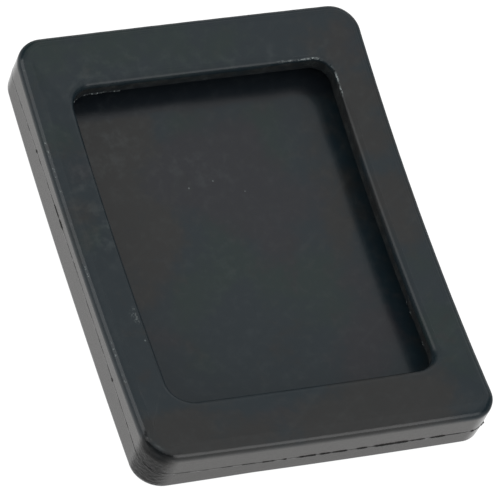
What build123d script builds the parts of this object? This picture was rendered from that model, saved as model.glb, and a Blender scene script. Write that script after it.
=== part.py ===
from build123d import *
import os
from math import degrees, isclose, sqrt

# Rubber pedal pad, moulded in one piece.
#
# Frame: +Z points from the tread face to the lip face, +Y along the pad. The origin is
# under the middle of the pad, at the lowest point of the tread face. Both faces are
# curled about one axis, parallel to X and high above the pad, so the ends stand higher
# than the middle. The mould parts on a flat plane, which the curl passes through.

# ---- Driving dimensions, in millimetres and degrees ----

# the outline, at the parting plane and above it
length = 110.2
width = 83.8
corner_radius = 6.6

# the section, from the tread face up
floor_thickness = 2.7
plate_thickness = 4.76          # a 3/16 in pedal plate
slot_clearance = 0.54           # over the thickness of the plate
lip_thickness = 4.9

# the curl, the parting plane and the walls, which draft in below it
tread_radius = 460.0            # of the tread face
parting_height = 8.3            # above the lowest point of the tread face
wall_draft = 2.5

# the pocket that holds the pedal plate, and the mouth that the plate goes in through
side_wall = 3.7
end_wall = 4.2
pocket_corner_radius = 4.0
side_border = 9.5               # outline to mouth, on the two long sides
end_border = 13.4               # outline to mouth, on the two ends
mouth_corner_radius = 5.6

# rounded edges
lip_edge_radius = 2.4           # outside the lip face
tread_edge_radius = 0.6         # outside the tread face
mouth_edge_radius = 0.5

# the tread: ball-nosed grooves across the pad, inside a plain border
groove_radius = 1.7
groove_depth = 1.2
groove_pitch = 8.0
tread_side_border = 8.0
tread_end_border = 10.0

# ---- Sizes that follow ----

slot_height = plate_thickness + slot_clearance
thickness = floor_thickness + slot_height + lip_thickness
lip_radius = tread_radius - thickness
end_rise = tread_radius - sqrt(tread_radius**2 - (length / 2) ** 2)
margin = 5.0                    # by which a cutting or trimming shape overshoots


def layer(low, high):
    """The pad's layer between two heights above the tread face, bent with the curl."""
    ring = Circle(tread_radius - low) - Circle(tread_radius - high)
    foot = Rectangle(length + 2 * margin, tread_radius, align=(Align.CENTER, Align.MAX))
    section = ring & (Pos(0, -tread_radius / 2) * foot)
    return extrude(Plane.YZ * Pos(0, tread_radius) * section, width, both=True)


def upright(wide, long, radius, low, high):
    """A straight-walled block with rounded corners, between two heights."""
    return extrude(Pos(0, 0, low) * RectangleRounded(wide, long, radius), high - low)


def curled_faces(solid, radius):
    """The faces that are curled to this radius."""
    faces = solid.faces().filter_by(GeomType.CYLINDER)
    return faces.filter_by(lambda face: isclose(face.radius, radius, abs_tol=1e-6))


def moulded_blank():
    """The outside: upright walls that draft in below the parting plane, and curled faces."""
    outline = Pos(0, 0, parting_height) * RectangleRounded(width, length, corner_radius)
    walls = extrude(outline, thickness + end_rise + margin - parting_height)
    walls += extrude(outline, parting_height + margin, dir=(0, 0, -1), taper=wall_draft)
    blank = walls & layer(0, thickness)
    blank = fillet(curled_faces(blank, lip_radius).edges(), lip_edge_radius)
    return fillet(curled_faces(blank, tread_radius).edges(), tread_edge_radius)


def pocket():
    """The space for the pedal plate, wider all round than the mouth above it."""
    wide = width - 2 * side_wall
    long = length - 2 * end_wall
    block = upright(wide, long, pocket_corner_radius, 0, thickness + end_rise)
    return block & layer(floor_thickness, floor_thickness + slot_height)


def mouth():
    """The opening through the lip."""
    wide = width - 2 * side_border
    long = length - 2 * end_border
    low = floor_thickness + slot_height / 2
    return upright(wide, long, mouth_corner_radius, low, thickness + end_rise + margin)


def tread_grooves():
    """Ball-nosed grooves across the tread face, spaced round the curl axis."""
    overall = width - 2 * tread_side_border
    half = Rectangle(overall, groove_radius, align=(Align.CENTER, Align.MIN))
    capsule = revolve(SlotOverall(overall, 2 * groove_radius) & half, Axis.X)
    cutter = Pos(0, 0, groove_depth - groove_radius) * capsule
    count = int((length - 2 * tread_end_border) // groove_pitch) + 1
    curl_axis = Axis((0, 0, tread_radius), (1, 0, 0))
    step = degrees(groove_pitch / tread_radius)
    turns = [(i - (count - 1) / 2) * step for i in range(count)]
    return [cutter.rotate(curl_axis, turn) for turn in turns]


def pedal_pad():
    pad = moulded_blank() - pocket() - mouth()
    mouth_rim = curled_faces(pad, lip_radius)[0].inner_wires()[0]
    pad = fillet(mouth_rim.edges(), mouth_edge_radius)
    return pad - tread_grooves()


pad = pedal_pad()
pad.label = "pedal_pad"
os.makedirs("parts", exist_ok=True)
export_step(pad, "parts/pedal_pad.step")
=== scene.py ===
"""A rubber pedal pad, one black moulding, lying with its pocket side up."""

import math

import bmesh
import bpy
import numpy as np
from mathutils import Matrix, Vector


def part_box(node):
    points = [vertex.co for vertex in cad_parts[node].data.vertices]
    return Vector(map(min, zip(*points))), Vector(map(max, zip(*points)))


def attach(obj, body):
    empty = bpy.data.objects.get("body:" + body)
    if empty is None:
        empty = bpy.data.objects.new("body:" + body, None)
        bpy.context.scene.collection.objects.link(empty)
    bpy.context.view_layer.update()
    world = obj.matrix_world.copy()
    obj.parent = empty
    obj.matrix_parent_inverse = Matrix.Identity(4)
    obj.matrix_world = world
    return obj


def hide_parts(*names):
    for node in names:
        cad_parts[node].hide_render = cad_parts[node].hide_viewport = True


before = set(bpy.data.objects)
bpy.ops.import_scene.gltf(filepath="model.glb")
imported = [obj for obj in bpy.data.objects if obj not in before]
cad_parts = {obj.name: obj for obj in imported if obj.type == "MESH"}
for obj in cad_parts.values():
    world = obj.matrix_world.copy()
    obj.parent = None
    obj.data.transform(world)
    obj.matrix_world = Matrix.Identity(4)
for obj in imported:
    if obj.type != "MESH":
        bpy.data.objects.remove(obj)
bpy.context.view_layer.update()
pad_low, pad_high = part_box("pedal_pad")

MM = 0.001  # the sizes below are in millimetres, and the meshes in metres

# ---- Sizes of the moulding ----

width = (pad_high.x - pad_low.x) / MM
length = (pad_high.y - pad_low.y) / MM
corner_radius = 6.6
floor_thickness = 2.7
slot_height = 5.3
lip_thickness = 4.9
underside_depth = floor_thickness + slot_height  # depths are above the tread face
thickness = underside_depth + lip_thickness
outer_rise = 0.2  # the lip face stands highest along its outer edge
mouth_dip = 0.6  # and dips towards the mouth
outer_depth = thickness + outer_rise
mouth_depth = thickness - mouth_dip
tread_radius = 460.0
parting_height = 8.3
wall_draft = math.radians(2.5)
side_wall = 3.7
end_wall = 4.2
pocket_corner_radius = 4.0
side_border = 9.5  # from the wall to the mouth, as designed
end_border = 13.4
mouth_inset = (0.31, 0.35)  # how much further in the mouth's sides and ends came out,
mouth_shift = (0.21, 0.5)  # and how far the mouth lies to the right and to the back
mouth_corner_radius = 5.6
torn_corner_radius = 4.4  # the mouth's corner by the back and the right
lip_edge_radius = 2.4
rough_edge_radius = 1.4  # the same edge at the rough corner
tread_edge_radius = 0.6
mouth_edge_radius = 1.35
worn_edge_radius = 1.85  # the same edge where it is worn, at the right and the back
tear_sharpening = 0.9  # how much less that edge is rounded near its tear
tear_middle = (30.0, 40.0)
mouth_foot_radius = 0.2
fin_gap = 0.45  # the plain walls stop this far short of the parting plane
groove_radius = 1.7
groove_depth = 1.2
groove_pitch = 8.0
groove_count = 12
groove_margin = 8.0  # from the wall to the end of a groove
groove_end = width / 2 - groove_margin
pocket_size = (width / 2 - side_wall, length / 2 - end_wall, pocket_corner_radius)

# how finely the surface is divided
ACROSS = 160  # points along each short side
ALONG = 220  # points along each long side
ROUND = 24  # points round each corner
LIP_ROWS = 13  # rows over the round of the lip's outer edge
RIM_ROWS = 9  # rows over the round of the mouth's rim


# ---- The camera ----


def around(azimuth, elevation, distance):
    """A place in the air, from its bearing in plan, its height in degrees and its distance."""
    a, e = math.radians(azimuth), math.radians(elevation)
    level = math.cos(e)
    return distance * Vector((math.cos(a) * level, math.sin(a) * level, math.sin(e)))


def aim(place):
    """The turn of a lamp or a camera there that looks back at the middle."""
    return (-place).to_track_quat("-Z", "Y").to_matrix().to_4x4()


def set_camera():
    """A long lens beyond the front left corner, high up and rolled."""
    azimuth, elevation, distance = -129.813, 54.286, 1.3596
    place = around(azimuth, elevation, distance)
    target = Vector((0.0011, -0.00092, 0.006))
    roll = Matrix.Rotation(math.radians(26.675), 4, "Z")
    data = bpy.data.cameras.new("camera")
    data.lens = 436.0
    data.sensor_width = 36.0
    data.clip_end = 20.0
    camera = bpy.data.objects.new("camera", data)
    camera.matrix_world = Matrix.Translation(target + place) @ aim(place) @ roll
    bpy.context.scene.collection.objects.link(camera)
    bpy.context.scene.camera = camera


# ---- Laps and curls ----


def make_lap():
    """One lap of a rounded rectangle, counter-clockwise from the left end of the front.

    Each point hangs on a corner centre, given as fractions of the way out to it, and has
    a heading. Along a side the centre travels, and round a corner the heading turns.
    """
    across = np.linspace(-1, 1, ACROSS, endpoint=False)
    along = np.linspace(-1, 1, ALONG, endpoint=False)
    turn = np.linspace(0, 90, ROUND, endpoint=False)
    wide, long, bend = np.ones(ACROSS), np.ones(ALONG), np.ones(ROUND)
    centre_x = np.concatenate([across, bend, long, bend, -across, -bend, -long, -bend])
    centre_y = np.concatenate([-wide, -bend, along, bend, wide, bend, -along, -bend])
    turned = np.concatenate(
        [-90 * wide, turn - 90, 0 * long, turn, 90 * wide, turn + 90, 180 * long, turn + 180]
    )
    return centre_x, centre_y, np.radians(turned)


out_x, out_y, heading = make_lap()
face_x, face_y = np.cos(heading), np.sin(heading)


def corner_unevenness():
    """By how much each corner came out of the mould rounder or sharper than the others."""
    front_left, front_right, back_left, back_right = 0.32, -0.66, -0.18, 0.31
    front = (1 - out_x) * front_left + (1 + out_x) * front_right
    back = (1 - out_x) * back_left + (1 + out_x) * back_right
    return ((1 - out_y) * front + (1 + out_y) * back) / 4


outer_size = (width / 2, length / 2, corner_radius + corner_unevenness())
mouth_side = width / 2 - side_border - mouth_inset[0] + mouth_shift[0] * out_x
mouth_end = length / 2 - end_border - mouth_inset[1] + mouth_shift[1] * out_y
to_back_right = (1 + out_x) * (1 + out_y) / 4  # 1 on the centre of that corner
mouth_corner = np.where(to_back_right > 0.975, torn_corner_radius, mouth_corner_radius)
mouth_size = (mouth_side, mouth_end, mouth_corner)


def outline(size, out=0.0):
    """A rounded rectangle moved outwards by a distance: centre + (radius + out) x heading."""
    half_x, half_y, radius = size
    x = out_x * (half_x - radius) + (radius + out) * face_x
    y = out_y * (half_y - radius) + (radius + out) * face_y
    return x, y


lap_x, lap_y = outline(outer_size)
mouth_x, mouth_y = outline(mouth_size)


def curl(y, depth):
    """Height of a curled layer: the curl's centre less the root of radius^2 - y^2."""
    radius = tread_radius - depth
    return tread_radius - np.sqrt(radius**2 - y**2)


def tilt(y, depth):
    """Angle by which a curled layer rises along the heading of each point of the lap."""
    radius = tread_radius - depth
    return np.arctan(y / np.sqrt(radius**2 - y**2) * face_y)


# ---- Points, ripples and ramps ----


def points(x, y, z):
    """Rows of points from coordinates that broadcast to one shape."""
    return np.stack(np.broadcast_arrays(x, y, z), axis=-1)


def ripple(x, y, wavelength, seed, waves=14):
    """Smooth random relief from -1 to 1: plane waves of like length, in all directions."""
    rng = np.random.default_rng(seed)
    angle = rng.uniform(0, 2 * np.pi, waves)
    rate = 2 * np.pi / (wavelength * rng.uniform(0.7, 1.5, waves))
    phase = rng.uniform(0, 2 * np.pi, waves)
    total = np.zeros(np.broadcast(x, y).shape)
    for a, k, p in zip(angle, rate, phase):
        total = total + np.sin(k * (x * np.cos(a) + y * np.sin(a)) + p)
    return np.clip(total / math.sqrt(waves), -1, 1)


def ramp(value, low, high):
    """0 below low, 1 above high and a smooth rise between."""
    t = np.clip((value - low) / (high - low), 0, 1)
    return t * t * (3 - 2 * t)


def within(value, low, high, soft):
    """1 between low and high, falling to 0 over a soft distance outside them."""
    return ramp(value, low - soft, low) * (1 - ramp(value, high, high + soft))


# ---- What the mould, the trimming and the wear left on the edges ----

# a random share for each point of the lap, for what is torn
lap_torn = np.random.default_rng(11).random(len(lap_x))


def rough_corner(x, y):
    """1 on the corner by the front and the left, where the mould was rough: a ramp in x
    times a ramp in y, both round the corner's centre."""
    past_x = -x - (width / 2 - corner_radius)
    past_y = -y - (length / 2 - corner_radius)
    return ramp(past_x, -0.5, 3.5) * ramp(past_y, -2.0, 1.5)


def lip_round():
    """Radius of the lip's outer edge: less at the rough corner."""
    less = lip_edge_radius - rough_edge_radius
    return lip_edge_radius - less * rough_corner(lap_x, lap_y)


def mouth_round():
    """Radius of the mouth's rim: worn rounder at the right and the back, and sharp where
    the corner between them is torn."""
    from_tear = np.hypot(mouth_x - tear_middle[0], mouth_y - tear_middle[1])
    near_tear = 1 - ramp(from_tear, 8, 16)
    worn = ramp(face_x + face_y, -0.9, 0.95)
    more = worn_edge_radius - mouth_edge_radius
    return mouth_edge_radius + more * worn - tear_sharpening * near_tear


def lip_tilt(y, depth):
    """Tilt of the lip face, which also dips towards the mouth: the dip over its breadth."""
    across = width / 2 - mouth_side
    along = length / 2 - mouth_end
    reach = across * face_x**2 + along * face_y**2 - lip_round() - mouth_round()
    return tilt(y, depth) + np.arctan((outer_depth - mouth_depth) / reach)


def fin_reach():
    """How far the parting-line fin stands out: a hair all round, with torn lengths left on.

    The lengths say where they start and end, and how far they stand out. Those on the walls
    are placed in x or y, and those round the front right corner by their heading in degrees.
    """
    front_lengths = (
        (-22.6, -21.0, 0.08),
        (-18.5, -16.0, 0.11),
        (-13.8, -11.2, 0.15),
        (-8.8, -8.3, 0.18),
        (-5.1, -1.2, 0.21),
        (-0.2, 2.2, 0.19),
        (3.1, 6.4, 0.20),
        (8.9, 11.3, 0.19),
        (13.1, 21.1, 0.26),
        (21.7, 25.0, 0.14),
        (26.7, 30.3, 0.20),
        (31.0, 34.0, 0.10),
    )
    left_lengths = (
        (29.6, 30.2, 0.15),
        (9.4, 11.6, 0.20),
        (12.4, 15.4, 0.15),
        (-1.5, 0.5, 0.06),
        (-30.4, -29.8, 0.17),
    )
    corner_lengths = ((-84, -76, 0.2), (-72, -60, 0.08), (-55, -49, 0.19), (-48, -44, 0.36))
    front = lap_y < 3 - length / 2
    left = face_x < -0.99
    corner = (out_x > 0.999) & (out_y < -0.999)
    runs = (
        (front_lengths, lap_x, 0.35, front),
        (left_lengths, lap_y, 0.35, left),
        (corner_lengths, np.degrees(heading), 1.5, corner),
    )
    reach = 0.035 + 0.02 * ripple(lap_x, lap_y, 4.0, 21)
    for lengths, place, soft, side in runs:
        for start, end, out in lengths:
            reach = np.maximum(reach, out * within(place, start, end, soft) * side)
    return reach * (0.8 + 0.4 * lap_torn)


def rim_tear():
    """Where the mouth's rim is torn and pale: round its corner by the back and the right."""
    back = (face_y > 0.5) & (mouth_x > 0)
    right = (face_x > 0.5) & (mouth_y > 0)
    along_back = within(mouth_x, 21.5, 28.0, 3.0) * back
    along_right = within(mouth_y, 32.5, 38.5, 2.0) * right
    return np.maximum(along_back, along_right)


def foot_tear():
    """Where the foot of the mouth wall has ragged flash: at the back, towards the left, and
    in a few specks at the right, towards the front."""
    back = face_y > 0.5
    spots = within(mouth_x, -30.0, -26.2, 0.6) + within(mouth_x, -25.2, -24.0, 0.4)
    spots = spots + 0.7 * within(mouth_x, -23.2, -18.6, 0.6)
    right = face_x > 0.99
    specks = within(mouth_y, -25.0, -23.2, 0.4) + within(mouth_y, -21.4, -20.8, 0.3)
    specks = specks + within(mouth_y, -32.6, -31.9, 0.3)
    return spots * back + 0.6 * specks * right


# ---- Bands of the surface, from the tread face round to the pocket floor ----


def tread_edge():
    """The round under the wall: a ball that touches the tread face and the drafted wall."""
    turns = np.linspace(0, 1, 6)[:, None]
    out = -parting_height * math.tan(wall_draft) - tread_edge_radius
    y_ball = lap_y + out * face_y
    rise = tilt(y_ball, 0)
    height = curl(y_ball, 0) + tread_edge_radius / np.cos(rise)
    out = -(parting_height - height) * math.tan(wall_draft)
    out = out - tread_edge_radius / math.cos(wall_draft)
    start = rise - math.pi / 2
    angle = start + (-wall_draft - start) * turns
    ring_out = out + tread_edge_radius * np.cos(angle)
    ring_x, ring_y = outline(outer_size, ring_out)
    edge = points(ring_x, ring_y, height + tread_edge_radius * np.sin(angle))
    inwards = 0.5
    x, y = outline(outer_size, ring_out[0] - inwards)
    on_the_face = points(x, y, curl(y, 0))[None]
    return np.concatenate([on_the_face, edge])


def lower_wall(foot):
    """The drafted wall, from the tread edge up to just under the fin."""
    share = np.linspace(0, 1, 13)[1:, None]
    top = parting_height - fin_gap
    z = foot[..., 2] + (top - foot[..., 2]) * share
    out = -(parting_height - z) * math.tan(wall_draft)
    x, y = outline(outer_size, out)
    return points(x, y, z)


def parting_fin():
    """The wall at the parting plane, with the fin standing out of it on a narrow root: six
    rows by their height over the plane, of which the middle two are the fin's tip. The
    whole fin sways a little up and down."""
    rise = np.array([-0.25, -0.1, -0.06, 0.05, 0.08, 0.25])[:, None]
    tip = np.array([0, 0, 1, 1, 0, 0])[:, None]
    base = -np.maximum(-rise, 0) * math.tan(wall_draft)
    x, y = outline(outer_size, base + tip * fin_reach())
    sway = 0.05 * ripple(lap_x, lap_y, 14.0, 5)
    return points(x, y, parting_height + rise + sway)


def lip_ball():
    """Centre height of the ball that rounds the lip's outer edge, and the face's tilt."""
    y = outline(outer_size, -lip_round())[1]
    rise = lip_tilt(y, outer_depth)
    return curl(y, outer_depth) - lip_round() / np.cos(rise), rise


def upper_wall():
    """The upright wall, from just over the fin up to the round of the lip."""
    share = np.linspace(0, 1, 10)[:-1, None]
    foot = parting_height + fin_gap
    top = lip_ball()[0]
    return points(lap_x, lap_y, foot + (top - foot) * share)


def lip_edge():
    """The round outside the lip face: centre + radius x (cos, sin) from the wall to the
    face. The radius is a little uneven halfway round, and most so on the front half."""
    turns = np.linspace(0, 1, LIP_ROWS)[:, None]
    height, rise = lip_ball()
    angle = (math.pi / 2 + rise) * turns
    uneven = np.where(face_y < 0, 0.035, 0.012) * ripple(lap_x, lap_y, 4.0, 71)
    radius = lip_round() + uneven * np.sin(2 * angle)
    x, y = outline(outer_size, -lip_round() + radius * np.cos(angle))
    return points(x, y, height + radius * np.sin(angle))


def mouth_edge():
    """The round at the mouth's rim, from the lip face down to the mouth wall."""
    turns = np.linspace(0, 1, RIM_ROWS)[:, None]
    radius = mouth_round()
    x, y = outline(mouth_size, radius)
    rise = lip_tilt(y, mouth_depth)
    height = curl(y, mouth_depth) - radius / np.cos(rise)
    start = math.pi / 2 + rise
    angle = start + (math.pi - start) * turns
    x, y = outline(mouth_size, radius + radius * np.cos(angle))
    return points(x, y, height + radius * np.sin(angle))


def lip_face(outer, inner):
    """The curled face between its two edges: shares of the way across, and as much of the
    dip towards the mouth, at the curl's height. It has a long swell and a short one."""
    share = (1 - np.cos(np.linspace(0, math.pi, 19)[1:-1, None])) / 2
    x = outer[:, 0] + (inner[:, 0] - outer[:, 0]) * share
    y = outer[:, 1] + (inner[:, 1] - outer[:, 1]) * share
    depth = outer_depth + (mouth_depth - outer_depth) * share
    fade = within(share, 0.1, 0.9, 0.1)
    long_swell = 0.035 * ripple(x, y, 22.0, 31)
    short_swell = 0.012 * ripple(x, y, 6.0, 32)
    return points(x, y, curl(y, depth) + fade * (long_swell + short_swell))


def mouth_foot():
    """The round at the bottom of the mouth wall, into the underside of the lip."""
    turns = np.linspace(0, 1, 4)[:, None]
    x, y = outline(mouth_size, mouth_foot_radius)
    rise = tilt(y, underside_depth)
    height = curl(y, underside_depth) + mouth_foot_radius / np.cos(rise)
    angle = math.pi + (math.pi / 2 + rise) * turns
    x, y = outline(mouth_size, mouth_foot_radius + mouth_foot_radius * np.cos(angle))
    return points(x, y, height + mouth_foot_radius * np.sin(angle))


def mouth_wall(top, bottom):
    """Level steps down the mouth wall between its two rounds."""
    share = np.linspace(0, 1, 8)[1:-1, None, None]
    return top + (bottom - top) * share


def lip_underside(inner):
    """The curled underside, from the foot of the mouth out to the pocket wall."""
    share = np.array([0.05, 0.5, 0.97])[:, None]
    pocket_x, pocket_y = outline(pocket_size)
    x = inner[:, 0] + (pocket_x - inner[:, 0]) * share
    y = inner[:, 1] + (pocket_y - inner[:, 1]) * share
    return points(x, y, curl(y, underside_depth))


def floor_height(x, y):
    """The pocket floor: the curl, dished up outside a plain middle. The dish is a slope x
    past^2 / (past + blend), where past is the distance beyond the middle's edge."""
    middle_x, middle_y = 25, 35
    slope, blend, end_share = 0.055, 2, 0.75
    past_x = np.maximum(abs(x) - middle_x, 0)
    past_y = np.maximum(abs(y) - middle_y, 0)
    past = np.hypot(past_x, end_share * past_y)
    return curl(y, floor_thickness) + slope * past**2 / (past + blend)


def pocket_wall():
    """The upright pocket wall, from the underside of the lip down to the floor."""
    share = np.linspace(0, 1, 5)[:, None]
    x, y = outline(pocket_size)
    top = curl(y, underside_depth)
    return points(x, y, top + (floor_height(x, y) - top) * share)


def pocket_rim():
    """The edge of the pocket floor: one row just inside the wall."""
    inwards = 0.3
    x, y = outline(pocket_size, -inwards)
    return points(x, y, floor_height(x, y))[None]


# ---- The two panels ----


def bent(x, arc, depth):
    """Places points on the curl: x stays, and the length of arc becomes an angle."""
    angle = arc / tread_radius
    radius = tread_radius - depth
    return points(x, radius * np.sin(angle), tread_radius - radius * np.cos(angle))


def tread_panel():
    """The grooved middle of the tread face, in strips of one ball-nosed groove each.

    Along a strip the groove's radius stays, then closes like a ball's at each end. Across
    it the groove is an arc about a line outside the face, and the rest of the strip is flat.
    """
    sunk = groove_radius - groove_depth
    closing = np.arccos(sunk / groove_radius)
    turn = np.linspace(0, closing, 7)
    straight = np.linspace(0, groove_end - groove_radius, 8)
    half = np.concatenate([straight, straight[-1] + groove_radius * np.sin(turn[1:])])
    bore = np.concatenate([np.full(8, groove_radius), groove_radius * np.cos(turn[1:])])
    half = np.append(half, groove_end + np.array([0.8, 1.8]))  # plain face past the end
    bore = np.append(bore, [sunk, sunk])
    x = np.concatenate([-half[:0:-1], half])
    bore = np.concatenate([bore[:0:-1], bore])
    spread = np.arccos(np.clip(sunk / bore, -1, 1))
    across = spread * np.linspace(-1, 1, 11)[:, None]
    inside = bore * np.sin(across)
    carved = bore * np.cos(across) - sunk
    edge = groove_pitch / 2
    near, far = inside[:1], inside[-1:]
    share = np.array([0.0, 0.5, 0.85])[:, None]
    before = -edge + (near + edge) * share
    after = far + (edge - far) * (1 - share[:0:-1])
    strip = np.concatenate([before, inside, after])
    flat = np.zeros_like(before), np.zeros_like(after)
    depth = np.concatenate([flat[0], carved, flat[1]])
    centres = (np.arange(groove_count) - (groove_count - 1) / 2) * groove_pitch
    arc = (centres[:, None, None] + strip).reshape(-1, len(x))
    arc = np.concatenate([arc, np.full((1, len(x)), centres[-1] + edge)])
    depth = np.concatenate([np.tile(depth, (groove_count, 1)), np.zeros((1, len(x)))])
    return bent(np.broadcast_to(x, arc.shape), arc, depth)


def floor_panel():
    """The middle of the pocket floor: a 1 mm grid in plan at the floor's height, with a
    slight ripple."""
    half_x, half_y = 36, 48
    across = np.linspace(-half_x, half_x, 2 * half_x + 1)
    along = np.linspace(-half_y, half_y, 2 * half_y + 1)
    x, y = np.meshgrid(across, along)
    return points(x, y, floor_height(x, y) + 0.02 * ripple(x, y, 18.0, 41))


# ---- Sewing the surface together ----


def grid_faces(rows, columns, closed):
    """Quads of a grid whose rows run counter-clockwise, closed into rings if asked."""
    row = np.arange(rows - 1)[:, None]
    column = np.arange(columns if closed else columns - 1)
    following = (column + 1) % columns
    a, b = row * columns + column, row * columns + following
    return np.stack([a, b, b + columns, a + columns], axis=-1).reshape(-1, 4)


def rim_of(rows, columns):
    """Indices round the edge of a grid, counter-clockwise from its first point."""
    first = np.arange(columns - 1)
    right = np.arange(rows - 1) * columns + columns - 1
    last = (rows - 1) * columns + np.arange(columns - 1, 0, -1)
    left = np.arange(rows - 1, 0, -1) * columns
    return np.concatenate([first, right, last, left])


def bearing(co):
    """Angle round the middle, with both half widths scaled to 1, from 0 to a full turn."""
    x, y = co[:, 0] / co[:, 0].max(), co[:, 1] / co[:, 1].max()
    return np.arctan2(y, x) % (2 * np.pi)


def zip_rings(outer, outer_at, inner, inner_at):
    """Triangles between two rings of unlike counts, facing up: each edge takes the point
    of the other ring that was last passed at the edge's far end."""
    order_out, order_in = np.argsort(outer_at), np.argsort(inner_at)
    outer, outer_at = outer[order_out], outer_at[order_out]
    inner, inner_at = inner[order_in], inner_at[order_in]
    next_out, next_in = np.roll(outer, -1), np.roll(inner, -1)
    far_out = np.append(outer_at[1:], outer_at[0] + 2 * np.pi)
    far_in = np.append(inner_at[1:], inner_at[0] + 2 * np.pi)
    turned_in = np.concatenate([inner_at, inner_at + 2 * np.pi])
    turned_out = np.concatenate([outer_at, outer_at + 2 * np.pi])
    met_in = (np.searchsorted(turned_in, far_out, side="right") - 1) % len(inner)
    met_out = (np.searchsorted(turned_out, far_in, side="left") - 1) % len(outer)
    from_outer = np.stack([outer, next_out, inner[met_in]], axis=-1)
    from_inner = np.stack([next_in, inner, outer[met_out]], axis=-1)
    return np.concatenate([from_outer, from_inner])


def moulding():
    """Every point of the pad in millimetres, its faces, and where each band of rings lies."""
    foot = tread_edge()
    rim, edge, sole = lip_edge(), mouth_edge(), mouth_foot()
    bands = {
        "tread_edge": foot,
        "lower_wall": lower_wall(foot[-1]),
        "fin": parting_fin(),
        "upper_wall": upper_wall(),
        "lip_edge": rim,
        "lip_face": lip_face(rim[-1], edge[0]),
        "mouth_edge": edge,
        "mouth_wall": mouth_wall(edge[-1], sole[0]),
        "mouth_foot": sole,
        "underside": lip_underside(sole[-1]),
        "pocket_wall": pocket_wall(),
        "pocket_rim": pocket_rim(),
    }
    rows, at = {}, 0
    for name, band in bands.items():
        rows[name] = slice(at, at + len(band))
        at += len(band)
    rings = np.concatenate(list(bands.values()))
    wear_the_edges(rings, rows)
    lap = len(lap_x)
    tread, floor = tread_panel(), floor_panel()
    ring_count = rings.shape[0] * lap
    tread_count = tread.shape[0] * tread.shape[1]
    co = np.concatenate([rings.reshape(-1, 3), tread.reshape(-1, 3), floor.reshape(-1, 3)])
    co = settled(co)
    first, last = np.arange(lap), np.arange(ring_count - lap, ring_count)
    tread_rim = ring_count + rim_of(*tread.shape[:2])
    floor_rim = ring_count + tread_count + rim_of(*floor.shape[:2])
    tread_seam = zip_rings(first, bearing(co[first]), tread_rim, bearing(co[tread_rim]))
    floor_seam = zip_rings(last, bearing(co[last]), floor_rim, bearing(co[floor_rim]))
    quads = [
        grid_faces(rings.shape[0], lap, True),
        grid_faces(*tread.shape[:2], False)[:, ::-1] + ring_count,
        grid_faces(*floor.shape[:2], False) + ring_count + tread_count,
    ]
    triangles = [tread_seam[:, ::-1], floor_seam]
    return co, np.concatenate(quads), np.concatenate(triangles), rows, rings.shape[:2]


def settled(co):
    """The pad as it cooled: sides drawn in and ends swelled at their middles, long edges
    lifted, a slight twist, and the foot of the front left corner sagging."""
    x, y, z = co.T
    drawn_in, swelled, lifted, twisted, sagged = 0.17, 0.27, 0.18, 0.1, 2.0
    across, along = x / (width / 2), y / (length / 2)
    low = np.clip(1 - z / parting_height, 0, 1)
    sag_start, sag_span = 15, 27  # from left of the middle to the left wall
    to_the_left = np.clip((-x - sag_start) / sag_span, 0, 1)
    sag = to_the_left * np.clip(-along, 0, 1) ** 2 * low
    moved_x = x - drawn_in * across * (1 - along**2)
    moved_y = y + swelled * along * (1 - across**2)
    moved_z = z + lifted * across**2 + twisted * across * along - sagged * sag
    return points(moved_x, moved_y, moved_z)


def wear_the_edges(rings, rows):
    """Adds what the mould and the trimming left: the rough corner's crinkles, the mouth's
    torn rim, which is also sunk at the back, and the ragged flash at the mouth's foot."""
    crinkle, tear_height, sunk_depth, flash_reach, flash_drop = 0.075, 0.16, 0.2, 0.24, 0.15
    outside = slice(rows["lower_wall"].start, rows["lip_edge"].stop)
    x, y, z = (rings[outside, :, axis] for axis in range(3))
    grain = ripple((lap_x - lap_y) * 1.1, z * 1.2, 1.2, 51, 24)
    relief = crinkle * rough_corner(x, y) * grain
    rings[outside, :, 0] += relief * face_x
    rings[outside, :, 1] += relief * face_y
    crest = rim_tear() * (0.4 + 0.3 * ripple(mouth_x, mouth_y, 1.2, 63) + 0.3 * lap_torn)
    rim = rows["mouth_edge"]
    lift = np.array([0.0, 0.0, 0.3, 0.8, 1.0, 0.7, 0.2, 0.0, 0.0])[:, None]
    rings[rim, :, 2] += tear_height * lift * crest
    sunk = within(mouth_x, 24.0, 40.0, 7.0) * (face_y > 0.5)
    rings[rim, :, 2] -= sunk_depth * np.sin(np.linspace(0.3, math.pi, RIM_ROWS))[:, None] * sunk
    sole = rows["mouth_foot"]
    hang = np.array([0.2, 1.0, 1.0, 0.1])[:, None]
    ragged = foot_tear() * (0.2 + 0.8 * np.roll(lap_torn, 3))
    rings[sole, :, 0] -= flash_reach * hang * ragged * face_x
    rings[sole, :, 1] -= flash_reach * hang * ragged * face_y
    rings[sole, :, 2] -= flash_drop * hang * ragged


# ---- Shader maths ----


class Sum:
    """A shader socket that can be used in a sum: each sign adds its Math node."""

    def __init__(self, paint, socket):
        self.paint = paint
        self.socket = socket

    def _with(self, operation, first, second):
        return self.paint.add("ShaderNodeMath", {"operation": operation}, {0: first, 1: second})

    def __add__(self, other):
        return self._with("ADD", self, other)

    __radd__ = __add__

    def __mul__(self, other):
        return self._with("MULTIPLY", self, other)

    __rmul__ = __mul__

    def __sub__(self, other):
        return self._with("SUBTRACT", self, other)

    def __rsub__(self, other):
        return self._with("SUBTRACT", other, self)

    def at_most(self, other):
        """The lesser of the two."""
        return self._with("MINIMUM", self, other)

    def at_least(self, other):
        """The greater of the two."""
        return self._with("MAXIMUM", self, other)

    def rise(self, low, high):
        """0 below low and 1 above high, with a smooth rise between."""
        sockets = {"Value": self, "From Min": low, "From Max": high}
        settings = {"interpolation_type": "SMOOTHSTEP"}
        return self.paint.add("ShaderNodeMapRange", settings, sockets)


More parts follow.
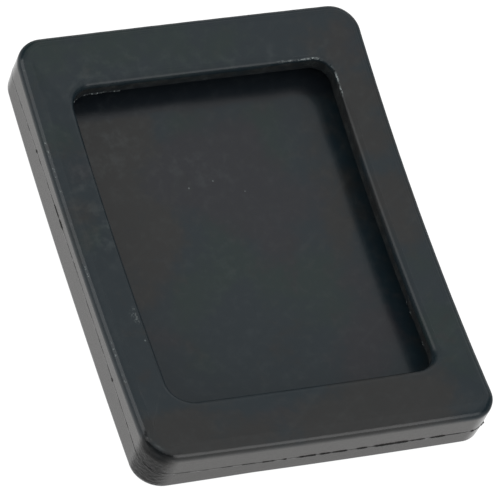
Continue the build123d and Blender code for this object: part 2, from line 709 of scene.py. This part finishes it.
class Paint:
    """A material or world under work."""

    def __init__(self, owner):
        owner.use_nodes = True
        self.tree = owner.node_tree
        self.tree.nodes.clear()

    def add(self, kind, settings=None, sockets=None, out=0):
        """Any node: its settings first, then its sockets' values or links."""
        node = self.tree.nodes.new(kind)
        for name, value in (settings or {}).items():
            setattr(node, name, value)
        for key, value in (sockets or {}).items():
            if isinstance(value, Sum):
                self.tree.links.new(value.socket, node.inputs[key])
            else:
                node.inputs[key].default_value = value
        return Sum(self, node.outputs[out]) if node.outputs else None

    def mix(self, factor, first, second):
        """Blends two colours."""
        sockets = {0: factor, 6: first, 7: second}
        return self.add("ShaderNodeMix", {"data_type": "RGBA"}, sockets, out=2)

    def noise(self, place, scale, detail=2.0, roughness=0.5):
        """Smooth random values from 0 to 1, in lumps of about 1 / scale."""
        sockets = {"Vector": place, "Scale": scale, "Detail": detail, "Roughness": roughness}
        return self.add("ShaderNodeTexNoise", {"noise_dimensions": "3D"}, sockets)

    def attribute(self, name):
        """A value stored on the mesh's points."""
        return self.add("ShaderNodeAttribute", {"attribute_name": name}, out="Fac")

    def spot(self, place, x, y, size):
        """1 within a small speck, on whatever level it lies."""
        level = self.stretched(place, (1.0, 1.0, 0.0))
        sockets = {0: level, 1: (x, y, 0.0)}
        away = self.add("ShaderNodeVectorMath", {"operation": "DISTANCE"}, sockets, out="Value")
        return 1.0 - away.rise(size * 0.5, size)

    def drawn_out(self, place, turn, size):
        """The place turned in plan and measured in a different length along each axis."""
        sockets = {"Vector": place, "Rotation": (0.0, 0.0, turn), "Scale": size}
        return self.add("ShaderNodeMapping", {"vector_type": "TEXTURE"}, sockets)

    def stretched(self, place, scale):
        """The place scaled by a different amount along each axis."""
        sockets = {"Vector": place, "Scale": scale}
        return self.add("ShaderNodeMapping", {"vector_type": "POINT"}, sockets)


def grey(value):
    """A grey as a colour."""
    return (value, value, value, 1.0)


def clouded_black(paint, uneven):
    """Blue black with clouds of other blacks, each where its attribute says: the attribute
    and the unevenness are added, and a rise over the sum mixes the cloud in."""
    colour = (0.0064, 0.0115, 0.0148, 1.0)
    clouds = {
        "teal": (0.0064, 0.0134, 0.0130, 1.0),
        "violet": (0.0098, 0.0108, 0.0136, 1.0),
        "neutral": (0.0113, 0.0117, 0.0116, 1.0),
        # painted shade: a deeper black where the back lip overhangs the pocket floor
        "painted_under_lip_shade": (0.0064, 0.0085, 0.0108, 1.0),
    }
    raggedness = 2.6
    for name, cloud in clouds.items():
        spread = paint.attribute(name) + uneven * raggedness
        colour = paint.mix(spread.rise(0.1, 0.95), colour, cloud)
    return colour


def bloom(paint, place, mottle, grain, wall):
    """How much pale film lies on the rubber: smears, a faint mottle, drawn-out wipes on all
    but the walls, scuffs and a few small specks, all added up. The smears also hold a
    painted highlight, a pale line over the rough corner."""
    film = paint.attribute("bloom_and_painted_highlight") * mottle.rise(0.42, 0.68) * 0.12
    film = film + mottle.rise(0.5, 0.8) * 0.04
    slanted = paint.drawn_out(place, 0.65, (0.03, 0.0025, 0.03))
    wipes = paint.noise(slanted, 1.0, 3.0)
    film = film + wipes.rise(0.55, 0.8) * (1.0 - wall) * 0.035
    film = film + paint.attribute("scuffed") * grain.rise(0.5, 0.62) * 0.7
    specks = ((-6.9, 18.5, 0.28), (-0.7, 19.6, 0.25), (6.1, 16.0, 0.2), (-33.3, -24.0, 0.3))
    for x, y, size in specks:
        film = film + paint.spot(place, x * MM, y * MM, size * MM) * 0.8
    return film.at_most(1.0)


def moulded_rubber():
    """Black rubber with a soft gloss: clouds of other blacks, one of them painted shade under
    the back lip, a film of pale bloom that also holds a painted highlight line, fine grain,
    polished walls with drawn streaks, a rough corner painted near black as painted shade
    with a band of painted shade over it, pale torn edges, and a matt finish along the lip's
    far edges."""
    # near black for the painted shade on the rough corner and the band over it
    painted_shade_black = grey(0.002)
    wall_black = (0.022, 0.0204, 0.0188, 1.0)
    pale_bloom = (0.080, 0.092, 0.092, 1.0)
    torn_grey = (0.26, 0.29, 0.29, 1.0)
    material = bpy.data.materials.new("moulded_rubber")
    paint = Paint(material)
    place = paint.add("ShaderNodeTexCoord", out="Object")
    wall = paint.attribute("wall")
    rough = paint.attribute("rough")
    torn = paint.attribute("torn")
    cloud = paint.noise(place, 130.0, 4.0, 0.6)
    mottle = paint.noise(place, 420.0, 4.0, 0.6)
    grain = paint.noise(place, 2600.0, 2.0)
    speckle = paint.noise(place, 1400.0, 1.0)
    streak = paint.noise(paint.stretched(place, (90.0, 90.0, 2300.0)), 1.0, 2.0)
    crinkle = paint.noise(paint.stretched(place, (900.0, 900.0, 1500.0)), 1.0, 3.0)
    colour = clouded_black(paint, cloud * 0.7 + mottle * 0.3 - 0.5)
    # painted shade: the rough corner and the band over it are painted towards near black for the
    # dark they reflect; their crinkles and roughness are real
    painted_shade = rough * 0.7 + paint.attribute("matt_and_painted_shade") * 0.75
    colour = paint.mix(painted_shade, colour, painted_shade_black)
    colour = paint.mix(wall, colour, wall_black)
    colour = paint.mix(bloom(paint, place, mottle, grain, wall), colour, pale_bloom)
    colour = paint.mix((torn * grain.rise(0.42, 0.6)).at_most(0.9), colour, torn_grey)
    height = grain * 0.35 + streak * wall * 0.5 + torn * grain * 2.0 + rough * crinkle * 7.0
    relief = {"Strength": 0.25, "Distance": 0.00012, "Height": height}
    gloss = 0.14 + cloud * 0.04 + mottle * 0.04 + rough * 0.16 + torn * 0.25
    gloss = gloss + paint.attribute("worn") * 0.12
    skin = paint.attribute("polish") * (0.35 + streak * 0.12 + speckle * 0.16)
    shader = paint.add(
        "ShaderNodeBsdfPrincipled",
        None,
        {
            "Base Color": colour,
            "Roughness": gloss,
            "IOR": 1.5,
            "Specular IOR Level": 0.2,
            "Coat Weight": skin,
            "Coat Roughness": 0.25,
            "Coat IOR": 1.5,
            "Normal": paint.add("ShaderNodeBump", None, relief),
        },
    )
    dull = paint.add("ShaderNodeBsdfDiffuse", None, {"Color": colour})
    matt = paint.attribute("matt") * 0.75
    surface = paint.add("ShaderNodeMixShader", None, {0: matt, 1: shader, 2: dull})
    paint.add("ShaderNodeOutputMaterial", None, {"Surface": surface})
    return material


# ---- The pad ----


def make_pad():
    """The moulding as one mesh, with attributes that say where its finishes lie."""
    co, quads, triangles, rows, grid = moulding()
    mesh = bpy.data.meshes.new("rubber_pad")
    faces = [*quads.tolist(), *triangles.tolist()]
    mesh.from_pydata((co * MM).tolist(), [], faces)
    paint_attributes(mesh, co, rows, grid)
    merge_doubles(mesh)
    mesh.materials.append(moulded_rubber())
    mesh.shade_smooth()
    mesh.set_sharp_from_angle(angle=math.radians(38))
    piece = bpy.data.objects.new("rubber_pad", mesh)
    bpy.context.scene.collection.objects.link(piece)
    return piece


def blobs(x, y, places):
    """Soft round patches, each with a middle and a radius in millimetres, and an amount:
    amount x exp(-(distance / radius)^2), added up."""
    total = 0 * x
    for middle_x, middle_y, radius, amount in places:
        squared = ((x - middle_x) ** 2 + (y - middle_y) ** 2) / radius**2
        total = total + amount * np.exp(-squared)
    return total


def on_the_lip(y, z):
    """1 on the lip, 0 on the pocket floor and the tread, and a rise up the walls."""
    return ramp(z - curl(y, 0), 4.0, 11.5)


def neutral_patches(x, y):
    """Where the blue-black rubber is a plain grey black: on the lip, and in the pocket."""
    front = ((-36, -48, 7, 0.9), (-27, -52, 9, 0.9), (-15, -54, 7, 0.7), (9, -53, 9, 0.8))
    middle = ((-1, -53, 8, 0.8), (19, -49, 10, 1.0), (28, -48, 7, 0.8))
    right = ((35, 19, 6, 0.9), (35, 6, 6, 0.8), (36, 30, 8, 0.9), (37, -4, 7, 0.8))
    lip = blobs(x, y, (*front, *middle, *right, (33, 47, 8, 0.6), (-38, 10, 5, 0.7)))
    back = ((-25, 36, 9, 1.0), (-16, 35, 7, 0.9), (-24, 26, 8, 1.0), (-25, 19, 5, 0.7))
    left = ((-25, 10, 8, 1.0), (-16, 11, 6, 0.8), (-22, 3, 7, 0.9), (-25, -8, 5, 0.8))
    edge = ((28, 30, 5, 0.5), (25, 20, 5, 0.4), (27, 6, 6, 0.6), (24, 0, 4, 0.4))
    pocket = blobs(x, y, (*back, *left, *edge, (29, 14, 6, 0.5))) + 0.3 * ramp(x, 29, 33)
    return lip, pocket


def violet_patches(x, y):
    """Where it leans to violet."""
    lip = blobs(x, y, ((-35, 20, 5, 0.6), (-10, -48, 7, 0.6), (36, 45, 6, 0.7), (37, 31, 6, 0.6)))
    band = ((-6, 26, 8, 1.0), (4, 25, 8, 1.0), (-14, 19, 7, 0.9), (0, 17, 9, 1.0), (10, 31, 5, 0.6))
    right = ((14, 13, 9, 0.9), (24, 12, 6, 0.6), (8, 2, 6, 0.8), (26, -9, 5, 0.7))
    low = ((22, -28, 8, 0.9), (28, -20, 6, 0.7), (-25, -19, 6, 0.7), (17, -37, 7, 0.6))
    return lip, blobs(x, y, (*band, *right, *low))


def teal_patches(x, y):
    """Where it leans to green."""
    back = ((-36, 50, 7, 0.8), (-20, 51, 8, 0.8), (-5, 50, 8, 0.8), (8, 47, 6, 0.7))
    sides = ((-38, 30, 5, 0.7), (37, -14, 6, 0.6), (36, -30, 7, 0.8), (37, -42, 5, 0.6))
    lip = blobs(x, y, (*back, *sides, (-36, 4, 6, 0.5)))
    top = ((-4, 34, 6, 0.9), (16, 33, 6, 0.9), (15, 23, 5, 0.9), (-3, 9, 6, 0.6))
    arc = ((-16, -10, 5, 0.9), (-9, -5, 6, 0.9), (-1, 0, 6, 0.8), (8, -8, 7, 0.8), (19, -6, 6, 0.7))
    low = ((-20, -16, 5, 0.6), (17, -18, 7, 0.7), (-17, -27, 5, 0.5))
    return lip, blobs(x, y, (*top, *arc, *low))


def under_lip_shade_patches(x, y):
    """Painted shade, a deeper black under the lip: along the back of the pocket."""
    return 0 * x, 1.5 * ramp(y, 37, 40)


def haze_patches(x, y):
    """How much pale film lies there: wiped smears on the lip, and in the pocket."""
    outer = ((-38, 27, 5, 0.3), (-37, 12, 6, 0.3), (-37, -4, 5, 0.2), (-30, 39, 5, 0.4))
    back = ((-16, 45, 6, 0.4), (30, 43, 4, 0.5), (34, 33, 3, 0.3))
    rim = ((-8, 43.5, 3, 0.6), (0, 43.5, 3, 0.6), (9, 43.5, 3, 0.6), (18, 43.5, 3, 0.6))
    inner = ((-25, 43, 5, 0.8), (-34, 18, 4, 0.9), (-34, 2, 4, 0.9), (-34, 8, 3, 0.9))
    floor = ((-3, 23, 7, 0.4), (-5, -3, 6, 0.3), (-24, 32, 9, 0.7), (-10, 26, 6, 0.2))
    return 0.05 + blobs(x, y, (*outer, *back, *rim, *inner)), 0.12 + blobs(x, y, floor)


def finish_layers(rings, rows):
    """The finishes of the bands, from 0 to about 1 at each point.

    wall: the polished upright walls. rough: the crinkled corner, which is also painted
    darker as painted shade. dark: the band over it, painted near black as painted shade and
    made matt. torn: pale ragged edges. scuffed: scrapes on the lip. polish: the glossy skin.
    worn: the mouth's rim where it is duller. matt: where the gloss is gone.
    """
    x, y, z = np.moveaxis(rings, -1, 0)
    wall, rough, matt_and_painted_shade, torn, scuffed, polish, worn, matt = np.zeros((8, *x.shape))
    edge, fin, rim = rows["lip_edge"], rows["fin"], rows["mouth_edge"]
    walls = slice(rows["lower_wall"].start, rows["upper_wall"].stop)
    outside = slice(walls.start, edge.stop)
    lip = slice(edge.start, rows["lip_face"].stop)
    row = np.arange(LIP_ROWS)[:, None]
    left, front = face_x < -0.5, face_y < -0.5

    corner = rough_corner(x[outside], y[outside])
    high = ramp(z[outside], 12.0, 13.6)
    rough[outside] = corner * (1 - high)
    # painted shade: the band high over the rough corner is painted near black, and is also made
    # matt below
    matt_and_painted_shade[outside] = corner * high
    matt_and_painted_shade[edge] *= 1 - ramp(row, 3.0, 8.0)
    wall[walls] = 1 - (rough + matt_and_painted_shade)[walls]
    wall[fin][2:5] = 0.0  # the tip of the fin

    polish[rows["lower_wall"]] = np.where(left, 0.15, 0.3)
    polish[fin] = 0.3
    polish[rows["upper_wall"]] = np.where(left, 0.78, 0.77)
    polish[edge] = 0.4 * np.linspace(1.0, 0.0, LIP_ROWS)[:, None] ** 2 * front
    polish[outside] *= 1 - corner

    far_side = np.maximum(ramp(face_x, 0.0, 0.6), ramp(face_y, 0.1, 0.7))
    far_side = np.maximum(far_side, 0.5 * ramp(lap_x, 24, 36) * front)
    matt[outside] = 0.8 * matt_and_painted_shade[outside]
    matt[edge] += within(row, 3.0, 5.0, 4.0) * far_side
    worn[rim] = ramp(face_x + face_y, -0.5, 0.95)

    ragged = rim_tear() * (0.55 + 0.45 * ripple(mouth_x, mouth_y, 2.5, 61))
    torn[rim][3:7] = ragged * np.array([0.3, 1.0, 1.1, 0.4])[:, None]
    chips = ramp(ripple(lap_x, lap_y, 1.6, 62) + 0.3 * lap_torn, 1.0, 1.15) * (face_x < -0.3)
    torn[edge][5] = 0.5 * chips  # one row, nearly halfway round
    torn[rows["mouth_foot"]] = 0.8 * foot_tear() * ramp(lap_torn, 0.4, 0.8)
    scrapes = ((-33.6, -17.2, 0.9, 1.3), (-33.3, -18.7, 0.7, 1.1), (-33.2, -15.4, 0.5, 0.9))
    scuffed[lip] = blobs(x[lip], y[lip], scrapes)
    layers = {"wall": wall, "rough": rough, "torn": torn, "scuffed": scuffed}
    return {**layers, "polish": polish, "matt_and_painted_shade": matt_and_painted_shade, "worn": worn, "matt": matt}


def cloud_layers(co, rows, rough):
    """How much of each cloud lies at every point: the patches of the lip or of the pocket,
    and set amounts on the fin, the rough corner and the walls round the mouth and pocket."""
    x, y, z = co.T
    patches = {
        "neutral": neutral_patches,
        "violet": violet_patches,
        "teal": teal_patches,
        "painted_under_lip_shade": under_lip_shade_patches,
        "bloom_and_painted_highlight": haze_patches,
    }
    upper = on_the_lip(y, z)
    layers = {}
    for name, spread in patches.items():
        lip, pocket = spread(x, y)
        layers[name] = upper * lip + (1 - upper) * pocket
    neutral = layers["neutral"][: rough.size].reshape(rough.shape)
    bloom_and_painted_highlight = layers["bloom_and_painted_highlight"][: rough.size].reshape(rough.shape)
    inner_walls = slice(rows["mouth_wall"].start, rows["pocket_wall"].stop)
    neutral[inner_walls] = 0.8
    neutral[rows["fin"]] = 1.0
    neutral += 1.5 * rough
    bloom_and_painted_highlight[inner_walls] = 0.9
    corner = rough_corner(x[: rough.size], y[: rough.size]).reshape(rough.shape)
    edge = rows["lip_edge"]
    # painted highlight: the pale line over the rough corner stands in for the highlight along that
    # edge
    bloom_and_painted_highlight[edge][8:10] += 2.5 * corner[edge][8:10]  # a pale line over the rough corner
    return layers


def paint_attributes(mesh, co, rows, grid):
    """Stores each finish and each cloud on the mesh's points. The finishes are worked out
    on the rings alone, and are 0 on the two panels."""
    rings = co[: grid[0] * grid[1]].reshape(*grid, 3)
    finishes = finish_layers(rings, rows)
    clouds = cloud_layers(co, rows, finishes["rough"])
    for name, values in {**finishes, **clouds}.items():
        whole = np.zeros(len(co), dtype=np.float32)
        whole[: values.size] = values.ravel()
        layer = mesh.attributes.new(name, "FLOAT", "POINT")
        layer.data.foreach_set("value", whole)


def merge_doubles(mesh):
    """Joins points that coincide, which also closes the ends of the grooves."""
    work = bmesh.new()
    work.from_mesh(mesh)
    bmesh.ops.remove_doubles(work, verts=work.verts, dist=1e-7)
    work.to_mesh(mesh)
    work.free()


# ---- Floor and light ----


def seen_directly(paint):
    """1 for what the camera, a mirror or a glass sees, and 0 for light on its way."""
    seen = paint.add("ShaderNodeLightPath", out="Is Camera Ray")
    for name in ("Is Glossy Ray", "Is Transmission Ray"):
        seen = seen.at_least(paint.add("ShaderNodeLightPath", out=name))
    return seen


def make_floor():
    """A plain pale floor that reads as white, and keeps a faint shadow of the pad: seen
    directly it glows, and to light on its way it is plain."""
    material = bpy.data.materials.new("pale_floor")
    paint = Paint(material)
    plain = paint.add("ShaderNodeBsdfDiffuse", None, {"Color": grey(0.8)})
    white = paint.add("ShaderNodeEmission", None, {"Color": grey(1.0), "Strength": 0.96})
    pale = paint.add("ShaderNodeBsdfDiffuse", None, {"Color": grey(0.12)})
    lit = paint.add("ShaderNodeAddShader", None, {0: white, 1: pale})
    surface = paint.add("ShaderNodeMixShader", None, {0: seen_directly(paint), 1: plain, 2: lit})
    paint.add("ShaderNodeOutputMaterial", None, {"Surface": surface})
    half = 3.0
    mesh = bpy.data.meshes.new("floor")
    corners = [(-half, -half, 0), (half, -half, 0), (half, half, 0), (-half, half, 0)]
    mesh.from_pydata(corners, [], [(0, 1, 2, 3)])
    mesh.materials.append(material)
    floor = bpy.data.objects.new("floor", mesh)
    bpy.context.scene.collection.objects.link(floor)


def softbox(name, place, size, radiance, level=False):
    """A soft rectangular lamp whose face has a given radiance, aimed at the pad or level."""
    data = bpy.data.lights.new(name, "AREA")
    data.shape = "RECTANGLE"
    data.size, data.size_y = size
    data.energy = radiance * 4 * size[0] * size[1]  # the power for that radiance
    lamp = bpy.data.objects.new(name, data)
    turn = Matrix.Identity(4) if level else aim(place)
    lamp.matrix_world = Matrix.Translation(place) @ turn
    bpy.context.scene.collection.objects.link(lamp)


def set_light():
    """A bright ceiling, a second one over the front left, three softboxes round the pad
    and a dimmer room behind them, which the camera alone sees as white."""
    softbox("ceiling", Vector((0.0, 0.0, 1.2)), (4.6, 4.6), 0.74, level=True)
    softbox("near_ceiling", Vector((-0.92, -0.92, 1.19)), (3.4, 3.4), 0.33, level=True)
    softbox("left_softbox", around(152.0, 15.0, 1.5), (0.8, 0.86), 2.35)
    softbox("far_softbox", around(47.0, 17.0, 1.5), (2.2, 0.9), 0.28)
    softbox("right_softbox", around(-66.0, 12.0, 1.5), (0.8, 0.74), 3.0)
    world = bpy.data.worlds.new("room")
    paint = Paint(world)
    seen = paint.add("ShaderNodeLightPath", out="Is Camera Ray")
    strength = 0.25 + seen * 0.75
    room = paint.add("ShaderNodeBackground", None, {"Color": grey(1.0), "Strength": strength})
    paint.add("ShaderNodeOutputWorld", None, {"Surface": room})
    bpy.context.scene.world = world
    bpy.context.scene.view_settings.view_transform = "Standard"


# ---- The scene ----

set_camera()
pad = make_pad()
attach(pad, "root")
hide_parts("pedal_pad")
make_floor()
set_light()
